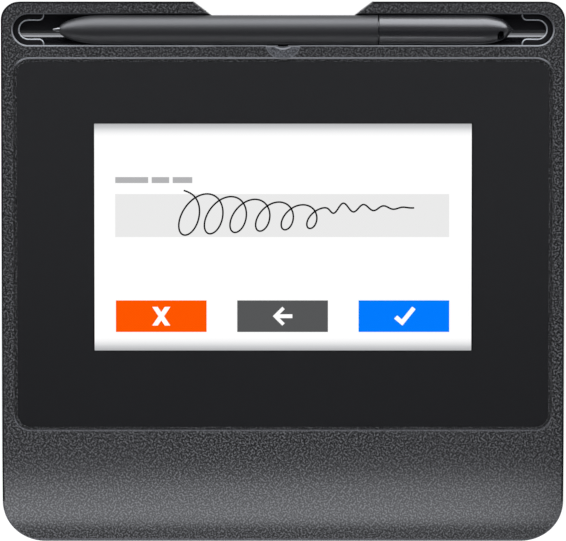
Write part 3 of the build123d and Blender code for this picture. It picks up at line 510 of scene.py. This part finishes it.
# %% [markdown]
# The cover glass is etched on top so that it doesn't dazzle. At a slant it mirrors the room, softened by
# the etching, and the rest of the light goes straight through. A mix of a transparent and a glossy shader
# says just that, and lets the lit screen through without noise. Its share is the slanting part of the
# Fresnel rule, Facing to the fifth power. The faint part that is left when the glass is seen straight on
# would be all speckle in a mix, so the print under it carries that one, with the same softness.

# %% Etched cover glass and its print
etched_low, etched_high, one_face_passes = 0.165, 0.175, 0.975
etched_glass, glass_tree, unused_shader = new_finish("etched_cover_glass")
glass_tree.nodes.remove(unused_shader)
etched_rough = add_node(
    glass_tree,
    "ShaderNodeMapRange",
    {"Value": noise_of(glass_tree, 0.25), "To Min": etched_low, "To Max": etched_high},
)
surface = add_node(glass_tree, "ShaderNodeBsdfGlossy", {"Roughness": etched_rough.outputs["Result"]})
through = add_node(glass_tree, "ShaderNodeBsdfTransparent", {"Color": [one_face_passes] * 3 + [1.0]})
off_square = add_node(glass_tree, "ShaderNodeLayerWeight", {"Blend": 0.5}).outputs["Facing"]
slanting_share = add_node(glass_tree, "ShaderNodeMath", {0: off_square, 1: 5.0}, operation="POWER")
glass_mix = add_node(
    glass_tree,
    "ShaderNodeMixShader",
    {0: slanting_share.outputs[0], 1: through.outputs["BSDF"], 2: surface.outputs["BSDF"]},
)
glass_tree.links.new(glass_mix.outputs["Shader"], glass_tree.nodes["Material Output"].inputs["Surface"])
black_print = moulded("screen_print", "#08080a", "#0a0a0b", 0.3, 0.0, 0.17, 0.6)
print("both faces of the glass let", round(one_face_passes ** 2, 3), "of the light through")

# %% [markdown]
# The screen gives its own light, so it is an emission, made a little stronger for what the glass takes.
# Along its long edges, the last few millimetres carry painted shade of the border over them, as a soft grey
# band. The distance to the nearer edge drives a colour ramp for that. Outside its lit area the panel is
# black.

# %% Lit screen
screen_width, screen_depth = 108.0 * MM, 64.8 * MM
dark_margin, edge_shade_reach, glass_loss = 0.2 * MM, 3.6 * MM, 1.06
edge_shade_stops = [(0.0, "#b4b5b7"), (0.3, "#cbccce"), (0.5, "#e2e3e4"), (0.75, "#f5f5f6"), (1.0, "#ffffff")]
panel_low, panel_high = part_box("lcd_panel")
screen_centre = (panel_low + panel_high) / 2
screen_top = panel_high.z


def lit(tree, colour):
    """Ends a tree in plain emitted light, which comes out of the glass in the colour that is given."""
    glow = add_node(tree, "ShaderNodeEmission", {"Color": colour, "Strength": glass_loss})
    tree.nodes.remove(tree.nodes["Principled BSDF"])
    tree.links.new(glow.outputs["Emission"], tree.nodes["Material Output"].inputs["Surface"])


def off_centre(tree, axis, middle, half):
    """How far a point is from the middle along one axis, and whether that is less than half the size."""
    off = add_node(tree, "ShaderNodeMath", {0: axis, 1: middle}, operation="SUBTRACT")
    size = add_node(tree, "ShaderNodeMath", {0: off.outputs[0]}, operation="ABSOLUTE").outputs[0]
    inside = add_node(tree, "ShaderNodeMath", {0: size, 1: half}, operation="LESS_THAN")
    return size, inside.outputs[0]


backlight, back_tree, _ = new_finish("backlit_white")
panel_at = place_axes(back_tree)
from_middle, inside_y = off_centre(back_tree, panel_at["Y"], screen_centre.y, screen_depth / 2)
_, inside_x = off_centre(back_tree, panel_at["X"], screen_centre.x, screen_width / 2 - dark_margin)
from_edge = add_node(
    back_tree,
    "ShaderNodeMapRange",
    {"Value": from_middle, "From Min": screen_depth / 2, "From Max": screen_depth / 2 - edge_shade_reach},
)
# Painted shade of the border, as a grey band along the long edges
painted_edge_shade = add_node(back_tree, "ShaderNodeValToRGB", {"Fac": from_edge.outputs["Result"]})
painted_edge_shade.color_ramp.elements.remove(painted_edge_shade.color_ramp.elements[0])
painted_edge_shade.color_ramp.elements[0].position = edge_shade_stops[0][0]
painted_edge_shade.color_ramp.elements[0].color = linear(edge_shade_stops[0][1])
for position, hex_colour in edge_shade_stops[1:]:
    painted_edge_shade.color_ramp.elements.new(position).color = linear(hex_colour)
lit_area = add_node(back_tree, "ShaderNodeMath", {0: inside_x, 1: inside_y}, operation="MULTIPLY")
shown_white = add_node(
    back_tree,
    "ShaderNodeMix",
    {0: lit_area.outputs[0], 6: linear("#060607"), 7: painted_edge_shade.outputs["Color"]},
    data_type="RGBA",
)
lit(back_tree, shown_white.outputs[2])
print("screen", round(screen_width / MM, 1), "x", round(screen_depth / MM, 1), "mm")

# %% [markdown]
# A CAD node comes in as loose triangles. The curved ones need smooth shading, or the palm rest shows its
# flats. So each curved piece gets a copy that stands for the node: its doubles are merged, edges turned
# by more than 28 degrees stay sharp, and normals are weighted by face area so that flats stay flat.

# %% Smooth copies of curved nodes
sharp_angle = math.radians(28)
merge_distance = 0.0005 * MM


def smooth_copy(node_name, piece_name, body, material):
    """A merged and smoothly shaded copy of a CAD node, which then stands for it."""
    mesh = nodes[node_name].data.copy()
    mesh.name = piece_name
    work = bmesh.new()
    work.from_mesh(mesh)
    bmesh.ops.remove_doubles(work, verts=work.verts, dist=merge_distance)
    bmesh.ops.dissolve_degenerate(work, edges=work.edges, dist=merge_distance)
    for face in work.faces:
        face.smooth = True
    for edge in work.edges:
        edge.smooth = edge.is_manifold and edge.calc_face_angle(math.pi) < sharp_angle
    work.to_mesh(mesh)
    work.free()
    piece = bpy.data.objects.new(piece_name, mesh)
    scene.collection.objects.link(piece)
    mesh.materials.clear()
    mesh.materials.append(material)
    weighted = piece.modifiers.new("weighted", "WEIGHTED_NORMAL")
    weighted.keep_sharp = True
    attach(piece, body)
    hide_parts(node_name)
    print(piece_name, len(mesh.polygons), "triangles")
    return piece


top_shell = smooth_copy("top_housing", "housing_top_shell", "housing", textured_abs)
smooth_copy("base_housing", "housing_base_shell", "housing", base_abs)
tray = smooth_copy("pen_tray", "polished_pen_tray", "housing", gloss_abs)
smooth_copy("rubber_feet", "moulded_feet", "housing", rubber)
barrel = smooth_copy("pen_barrel", "soft_touch_barrel", "pen", soft_paint)
cap = smooth_copy("pen_cap", "satin_cap", "pen", satin_abs)
nib = smooth_copy("pen_nib", "acetal_nib", "nib", nib_pom)
for piece in (tray, barrel, cap, nib):
    pen_and_tray.objects.link(piece)

# %% [markdown]
# Some finishes belong to a zone that follows edges rather than a distance seen from above: the rounded
# outer edge, the edge between palm rest and glass, the tray's rear flank and its brim. The mesh already
# has those edges, so a test on each face's middle and normal picks the faces.

# %% Zones picked by face
front_corner, rear_corner, edge_round, palm_end, leaning = 12.0 * MM, 5.2 * MM, 0.72 * MM, 12.0 * MM, 0.97
pocket_front, pocket_round, pocket_reach = glass_low.y - pocket_gap, 0.52 * MM, 4.4 * MM
pocket_side, facing_rear = 0.5 * MM, 0.1
flank_facing = 0.05
brim_low, brim_high, brim_steep, brim_flat = 7.8 * MM, 8.0 * MM, 0.8, 0.93


def finish_faces(piece, material, wanted):
    """Gives a finish of their own to the faces that a test picks by their middle and normal."""
    piece.data.materials.append(material)
    number = len(piece.data.materials) - 1
    picked = [face for face in piece.data.polygons if wanted(face.center, face.normal)]
    for face in picked:
        face.material_index = number
    print(piece.name, len(picked), "faces in", material.name)


def on_outer_edge(middle, normal, front):
    """Whether a face belongs to the rounded outer edge, behind or on the front end."""
    corner = front_corner if middle.y < 0 else rear_corner
    past_x, past_y = abs(middle.x) - (shell_high.x - corner), abs(middle.y) - (shell_high.y - corner)
    inset = min(shell_high.x - abs(middle.x), shell_high.y - abs(middle.y))
    if past_x > 0 and past_y > 0:
        inset = corner - math.hypot(past_x, past_y)
    return inset < edge_round and abs(normal.z) < leaning and (middle.y < shell_low.y + palm_end) == front


def on_front_pocket_edge(middle, normal):
    """Whether a face belongs to the rounded edge of the glass pocket along its front side."""
    near = pocket_front - pocket_round < middle.y < pocket_front + pocket_reach
    beside = abs(middle.x) < pocket_half.x + pocket_side
    return near and beside and normal.y > facing_rear and middle.z > glass_low.z


def on_brim(middle, normal):
    """Whether a face belongs to the cut brim of the tray."""
    return brim_low < middle.z < brim_high and brim_steep < normal.z < brim_flat


# Painted shade on the outer edge behind the front end
finish_faces(top_shell, dark_edge_abs, lambda middle, normal: on_outer_edge(middle, normal, False))
# Painted highlight on the front end's rounded edge and on the pocket's front edge
finish_faces(top_shell, painted_light_front_edge, lambda middle, normal: on_outer_edge(middle, normal, True))
finish_faces(top_shell, painted_light_front_edge, on_front_pocket_edge)
finish_faces(tray, shaded_abs, lambda middle, normal: normal.y < flank_facing)
# Painted highlight on the tray's brim
finish_faces(tray, brim_highlight_abs, on_brim)

# %% [markdown]
# The glass keeps its CAD mesh. The print under it touches its lower face, and two surfaces in one place
# flicker, so the top of the print's copy is lowered by a fiftieth of a millimetre.

# %% Glass and screen
optical_gap = 0.02 * MM
dress(etched_glass, "cover_glass")
print_copy = smooth_copy("glass_mask", "black_border_print", "housing", black_print)
print_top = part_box("glass_mask")[1].z - optical_gap
for vertex in print_copy.data.vertices:
    vertex.co.z = min(vertex.co.z, print_top)
dress(backlight, "lcd_panel")

# %% [markdown]
# The screen's picture is drawn as thin flat pieces that lie on the panel, under the glass: a field to
# sign in, bars where the prompt goes, three buttons and their signs. Sizes are in millimetres from the
# screen's upper left corner, as a screen designer gives them. The real pixels are 0.135 mm apart. They
# are drawn at 0.4 mm, three times too coarse, so that they can show.

# %% Screen picture: its place and its inks
picture_scale = 0.998  # the picture keeps just inside the lit area
picture_unit = picture_scale * MM
ink_thickness, pixel_mm = 0.02 * MM, 0.4
screen_left = screen_centre.x - picture_scale * screen_width / 2
screen_rear = screen_centre.y + picture_scale * screen_depth / 2
print("picture's upper left corner at", [round(place / MM, 2) for place in (screen_left, screen_rear)], "mm")


def pixels(name, hex_colour, dark_share=0.97):
    """A lit colour of the screen, with the faint grid of its pixels."""
    material, tree, _ = new_finish(name)
    darker = [dark_share * c for c in linear(hex_colour)[:3]] + [1.0]
    grid_inputs = {
        "Vector": add_node(tree, "ShaderNodeTexCoord").outputs["Object"],
        "Scale": 1 / (pixel_mm * MM),
        "Color1": linear(hex_colour),
        "Color2": darker,
    }
    grid = add_node(tree, "ShaderNodeTexChecker", grid_inputs)
    lit(tree, grid.outputs["Color"])
    return material


field_grey = pixels("field_grey", "#eaeaea", 0.985)
white_ink = pixels("white_ink", "#ffffff", 0.985)
prompt_grey = pixels("prompt_grey", "#b4b4b6")


# %% Screen picture: thin plates
def on_screen(x, y, height):
    """A place on the screen, from millimetres to the right of and below its upper left corner."""
    return screen_left + x * picture_unit, screen_rear - y * picture_unit, height


def flat_piece(name, outlines, layer, material):
    """Thin closed plates, one for each outline, stacked on the screen in layers of ink."""
    work = bmesh.new()
    low = screen_top + (layer + 0.5) * ink_thickness
    for outline in outlines:
        face = work.faces.new([work.verts.new(on_screen(x, y, low)) for x, y in outline])
        face.normal_update()
        raised = bmesh.ops.extrude_face_region(work, geom=[face])
        top_verts = [v for v in raised["geom"] if isinstance(v, bmesh.types.BMVert)]
        bmesh.ops.translate(work, verts=top_verts, vec=(0, 0, ink_thickness))
    bmesh.ops.recalc_face_normals(work, faces=work.faces)
    mesh = bpy.data.meshes.new(name)
    work.to_mesh(mesh)
    work.free()
    mesh.materials.append(material)
    piece = bpy.data.objects.new(name, mesh)
    scene.collection.objects.link(piece)
    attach(piece, "housing")
    print(name, len(mesh.polygons), "faces")


def rectangle(left, top, width, height):
    """The outline of an upright rectangle."""
    return [(left, top), (left, top + height), (left + width, top + height), (left + width, top)]


def placed(outline, centre):
    """An outline that was drawn about zero, moved to a centre."""
    return [(centre[0] + x, centre[1] + y) for x, y in outline]


# %% Field and prompt bars
prompt_top, prompt_height = 15.2, 1.7
prompt_words = [(6.1, 9.4), (16.5, 5.0), (22.5, 5.6)]
prompt_bars = [rectangle(left, prompt_top, width, prompt_height) for left, width in prompt_words]
flat_piece("signature_field", [rectangle(6.05, 20.05, 95.45, 12.3)], 0, field_grey)
flat_piece("prompt_bar", prompt_bars, 0, prompt_grey)

# %% Buttons and their signs
button_width, button_height, button_top, button_pitch, first_button = 25.95, 9.05, 50.5, 34.72, 6.2
button_colours = {"cancel": "#ff5601", "clear": "#565758", "accept": "#027bff"}
cross_bar = [(-2.6, -2.68), (-1.0, -2.68), (2.6, 2.68), (1.0, 2.68)]
signs = {
    "cancel": [cross_bar, [(-x, y) for x, y in reversed(cross_bar)]],
    "clear": [
        [(-2.8, 0), (-0.08, 2.72), (0.62, 2.03), (-1.41, 0), (0.62, -2.03), (-0.08, -2.72)],
        [(-1.6, -0.56), (-1.6, 0.56), (2.8, 0.56), (2.8, -0.56)],
    ],
    "accept": [[(-2.81, 0.7), (-0.44, 2.69), (3.35, -2.01), (2.38, -2.78), (-0.61, 0.9), (-1.9, -0.24)]],
}
for number, (button, hex_colour) in enumerate(button_colours.items()):
    left = first_button + number * button_pitch
    centre = (left + button_width / 2, button_top + button_height / 2)
    ink = pixels(f"{button}_ink", hex_colour)
    flat_piece(f"{button}_button", [rectangle(left, button_top, button_width, button_height)], 0, ink)
    for part, outline in enumerate(signs[button]):
        flat_piece(f"{button}_sign_{part}", [placed(outline, centre)], 1 + part, white_ink)

# %% [markdown]
# Somebody has signed. The line spells nothing: it is a coil of six loops that get smaller, and then a
# wave that dies away. A formula gives its points, and a Geometry Nodes tree turns the curve into a ribbon
# of ink. The tree takes the width as a named input, and makes the line swell and thin along its way as a
# real pen stroke does.

# %% Signature flourish: the curve
loop_count, steps_per_loop = 6, 14
coil_left, coil_run, coil_line, coil_drop = 24.0, 42.0, 25.6, 1.2
first_tall, tall_loss, first_wide, wide_loss, lean = 6.6, 3.6, 4.6, 1.8, 0.25
wave_points, half_waves = 34, 8.5
wave_left, wave_run, wave_line, wave_height = 67.0, 24.5, 24.0, 1.8

coil_points = loop_count * steps_per_loop
stroke_points = []
for i in range(coil_points + 1):
    share = i / coil_points
    turn = 2 * math.pi * share * loop_count
    tall, wide = first_tall - tall_loss * share, first_wide - wide_loss * share
    x = coil_left + coil_run * share + wide * math.sin(turn) + lean * tall * math.cos(turn)
    y = coil_line - tall * math.cos(turn) + coil_drop * share
    stroke_points.append((x, y))
for i in range(1, wave_points + 1):
    share = i / wave_points
    height = wave_height * (1 - share) * math.sin(half_waves * math.pi * share)
    stroke_points.append((wave_left + wave_run * share, wave_line + height))

flourish_data = bpy.data.curves.new("flourish", "CURVE")
flourish_data.dimensions = "3D"
spline = flourish_data.splines.new("NURBS")
spline.points.add(len(stroke_points) - 1)
ink_height = screen_top + 2 * ink_thickness
for point, (x, y) in zip(spline.points, stroke_points):
    point.co = (*on_screen(x, y, ink_height), 1)
spline.order_u = 4
spline.use_endpoint_u = True
spline.resolution_u = 6
flourish = bpy.data.objects.new("flourish_path", flourish_data)
scene.collection.objects.link(flourish)
print("flourish of", len(stroke_points), "points")


# %% Signature flourish: a tree and its use
def new_group(name, inputs):
    """A Geometry Nodes group with a geometry in and out, and named inputs with their values."""
    group = bpy.data.node_groups.new(name, "GeometryNodeTree")
    group.interface.new_socket("Geometry", in_out="INPUT", socket_type="NodeSocketGeometry")
    sockets = {}
    for label, (kind, value) in inputs.items():
        socket = group.interface.new_socket(label, in_out="INPUT", socket_type=kind)
        if value is not None:
            socket.default_value = value
        sockets[label] = socket.identifier
    group.interface.new_socket("Geometry", in_out="OUTPUT", socket_type="NodeSocketGeometry")
    return group, sockets


def grow(source, group, sockets, values, name):
    """Runs a tree on an object, and returns the result as a plain mesh object."""
    modifier = source.modifiers.new(name, "NODES")
    modifier.node_group = group
    for label, value in values.items():
        modifier[sockets[label]] = value
    evaluated = source.evaluated_get(bpy.context.evaluated_depsgraph_get())
    mesh = bpy.data.meshes.new_from_object(evaluated)
    mesh.name = name
    source.modifiers.remove(modifier)
    bpy.data.objects.remove(source)
    piece = bpy.data.objects.new(name, mesh)
    scene.collection.objects.link(piece)
    return piece


# %% Signature flourish: the ribbon of ink
line_width, thin_share, thick_share, swells = 0.46 * MM, 0.75, 1.25, 40.0
ribbon, ribbon_sockets = new_group(
    "ink_ribbon",
    {
        "Width": ("NodeSocketFloat", line_width),
        "Thickness": ("NodeSocketFloat", ink_thickness),
        "Ink": ("NodeSocketMaterial", None),
    },
)
start = add_node(ribbon, "NodeGroupInput")
along = add_node(ribbon, "GeometryNodeSplineParameter")
swell = add_node(
    ribbon, "ShaderNodeTexNoise", {"W": along.outputs["Factor"], "Scale": swells}, noise_dimensions="1D"
)
swell_share = add_node(
    ribbon,
    "ShaderNodeMapRange",
    {"Value": swell.outputs["Fac"], "To Min": thin_share, "To Max": thick_share},
)
steady = add_node(ribbon, "GeometryNodeSetCurveNormal", {"Curve": start.outputs["Geometry"]}, mode="Z_UP")
sized = add_node(
    ribbon,
    "GeometryNodeSetCurveRadius",
    {"Curve": steady.outputs["Curve"], "Radius": swell_share.outputs["Result"]},
)
section = add_node(
    ribbon,
    "GeometryNodeCurvePrimitiveQuadrilateral",
    {"Width": start.outputs["Width"], "Height": start.outputs["Thickness"]},
)
swept = add_node(
    ribbon,
    "GeometryNodeCurveToMesh",
    {"Curve": sized.outputs["Curve"], "Profile Curve": section.outputs["Curve"], "Fill Caps": True},
)
real = add_node(ribbon, "GeometryNodeRealizeInstances", {"Geometry": swept.outputs["Mesh"]})
inked = add_node(
    ribbon,
    "GeometryNodeSetMaterial",
    {"Geometry": real.outputs["Geometry"], "Material": start.outputs["Ink"]},
)
add_node(ribbon, "NodeGroupOutput", {"Geometry": inked.outputs["Geometry"]})

black_ink = pixels("black_ink", "#060607", 0.6)
ribbon_values = {"Width": line_width, "Thickness": ink_thickness, "Ink": black_ink}
signature = grow(flourish, ribbon, ribbon_sockets, ribbon_values, "signature_line")
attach(signature, "housing")
print("signature line", len(signature.data.polygons), "faces")

# %% [markdown]
# Inside the housing lie the boards, films and steel. They show only through the sockets and when the
# case is taken apart, but each still gets the finish it has. Bare metal shows the fine parallel lines of
# its rolling or drawing, so its noise is stretched across them. A board shows its copper as a lighter
# maze through the green mask. Films and clear plastics are nearly even, with a trace of ripple.

# %% Metals and boards
line_mm, line_depth_mm = 0.4, 0.003
maze_mm, track_share, track_depth_mm, mask_rough = 3.2, 0.03, 0.03, 0.35


def metal(name, dark, light, rough, stretch):
    """Bare metal with the fine parallel lines that rolling or drawing leaves."""
    material, tree, shader = new_finish(name)
    lines = noise_of(tree, line_mm, 3.0, 0.6, stretch)
    tree.links.new(ramp_between(tree, lines, dark, light), shader.inputs["Base Color"])
    shader.inputs["Metallic"].default_value = 1.0
    shader.inputs["Roughness"].default_value = rough
    bump(tree, shader, lines, line_depth_mm)
    return material


def circuit(name, mask_hex, copper_hex):
    """Solder mask over copper: the tracks under it show as a lighter, slightly raised maze."""
    material, tree, shader = new_finish(name)
    maze = {
        "Vector": add_node(tree, "ShaderNodeTexCoord").outputs["Object"],
        "Scale": 1 / (maze_mm * MM),
        "Mortar Size": track_share,
        "Color1": linear(mask_hex),
        "Color2": linear(mask_hex),
        "Mortar": linear(copper_hex),
    }
    tracks = add_node(tree, "ShaderNodeTexBrick", maze)
    tree.links.new(tracks.outputs["Color"], shader.inputs["Base Color"])
    shader.inputs["Roughness"].default_value = mask_rough
    bump(tree, shader, tracks.outputs["Fac"], track_depth_mm)
    return material


# Rolled sheet is a soft grey mirror with lines along the roll
rolled_steel = metal("rolled_steel", "#8d8f92", "#b4b6b9", 0.35, (1, 12, 1))
# Zinc plating is an even blue-grey with a dull shine
zinc_screw = metal("zinc_plated_steel", "#74767a", "#9a9ca0", 0.3, (1, 1, 1))
# Nickel on a drawn shell is warmer and brighter
nickel = metal("nickel_plated_steel", "#a5a6a4", "#c3c4c1", 0.25, (10, 1, 1))
# Enamelled wire lies turn by turn, so it reads as red-brown rings
copper_wire = metal("enamelled_copper", "#8a4526", "#b8663c", 0.35, (14, 1, 1))
# Green mask shows where the copper runs under it
green_board = circuit("green_solder_mask", "#0d4a2b", "#1c7345")
dress(rolled_steel, "display_frame", "shield_plate", "lock_plate")
dress(zinc_screw, "case_screws", "board_screws")
dress(nickel, "usb_shell")
dress(copper_wire, "pen_coil")
dress(green_board, "main_board", "sensor_board", "pen_board")

# %% Plastics, films and ferrite
# Chips and sockets are a flat charcoal
epoxy_black = moulded("moulded_epoxy", "#17181a", "#202123", 0.3, 0.01, 0.55)
# Flat cables are amber film with a dull gloss
polyimide = moulded("amber_polyimide", "#8a5410", "#a8690f", 0.5, 0.003, 0.35)
# The films behind the screen are white and dull, because they spread light
milky_film = moulded("milky_film", "#e6e8ea", "#f2f3f4", 0.6, 0.003, 0.5)
# The light guide is clear, and shows only as a pale glossy plate between them
acrylic = moulded("moulded_acrylic", "#cdd8dc", "#dde6e9", 1.5, 0.003, 0.1)
# Foam tape is matt black with coarse cells
foam_tape = moulded("acrylic_foam_tape", "#101011", "#19191a", 0.4, 0.02, 0.9)
# Sintered ferrite is grainy and dark grey, like slate
sintered = moulded("sintered_ferrite", "#2a2a2c", "#39393b", 0.3, 0.01, 0.6)
# Plain ABS is a dark grey that hardly shines
liner_abs = moulded("plain_abs", "#1b1c1e", "#232426", 0.5, 0.01, 0.5)
dress(epoxy_black, "board_chips", "usb_tongue", "pressure_unit", "pen_chassis")
dress(polyimide, "display_flex", "sensor_flex")
dress(milky_film, "reflector_sheet", "diffuser_film")
dress(acrylic, "light_guide")
dress(foam_tape, "glass_tape")
dress(sintered, "pen_core")
dress(liner_abs, "flex_sockets")
undressed = [name for name, node in nodes.items() if not node.data.materials]
print("nodes without a finish:", undressed)
